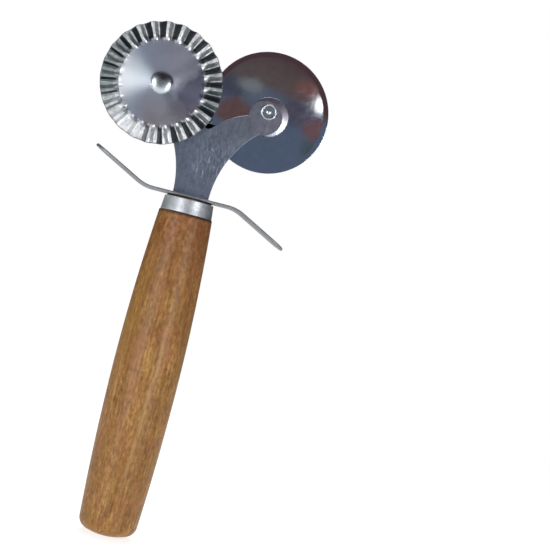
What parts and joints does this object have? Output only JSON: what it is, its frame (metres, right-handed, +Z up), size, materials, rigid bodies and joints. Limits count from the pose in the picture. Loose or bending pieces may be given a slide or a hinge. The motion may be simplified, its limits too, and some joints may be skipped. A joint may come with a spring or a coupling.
{
  "type": "pastry cutter wheel",
  "caption": "Hand-held double pastry cutter: fluted wheel in front and plain wheel behind a Y-shaped steel plate, S-bent guard, ferrule and turned wooden handle.",
  "frame": {"origin": "centre of the flat on the handle's butt, on the handle's axis", "axes": "+Z up the handle's axis to the wheels, +X to the plain wheel's side, -Y to the front, where the fluted wheel is"},
  "size_m": [0.0912, 0.0264, 0.1995],
  "materials": {
    "wood": "oiled, satin, lengthwise grain",
    "ferrule_metal": "satin, turned",
    "guard_steel": "satin",
    "plate_steel": "brushed lengthwise",
    "fluted_steel": "satin in the middle, bright on the flutes",
    "mirror_steel": "mirror polish",
    "rivet_steel": "polished",
    "spacer_steel": "turned"
  },
  "bodies": {
    "tool": {"handle": "wood", "ferrule": "ferrule_metal", "guard": "guard_steel", "fork_plate": "plate_steel", "fluted_wheel_rivet": "rivet_steel", "plain_wheel_rivet": "rivet_steel", "fluted_wheel_spacer": "spacer_steel", "plain_wheel_spacer": "spacer_steel"},
    "fluted_disc": {"fluted_wheel": "fluted_steel"},
    "plain_disc": {"plain_wheel": "mirror_steel"}
  },
  "joints": [
    {"name": "fluted_wheel_spin", "type": "hinge", "parent": "tool", "child": "fluted_disc", "pos_m": [-0.0217, 0, 0.1755], "axis": [0, 1, 0], "continuous": true},
    {"name": "plain_wheel_spin", "type": "hinge", "parent": "tool", "child": "plain_disc", "pos_m": [0.0217, 0, 0.1755], "axis": [0, 1, 0], "continuous": true}
  ]
}
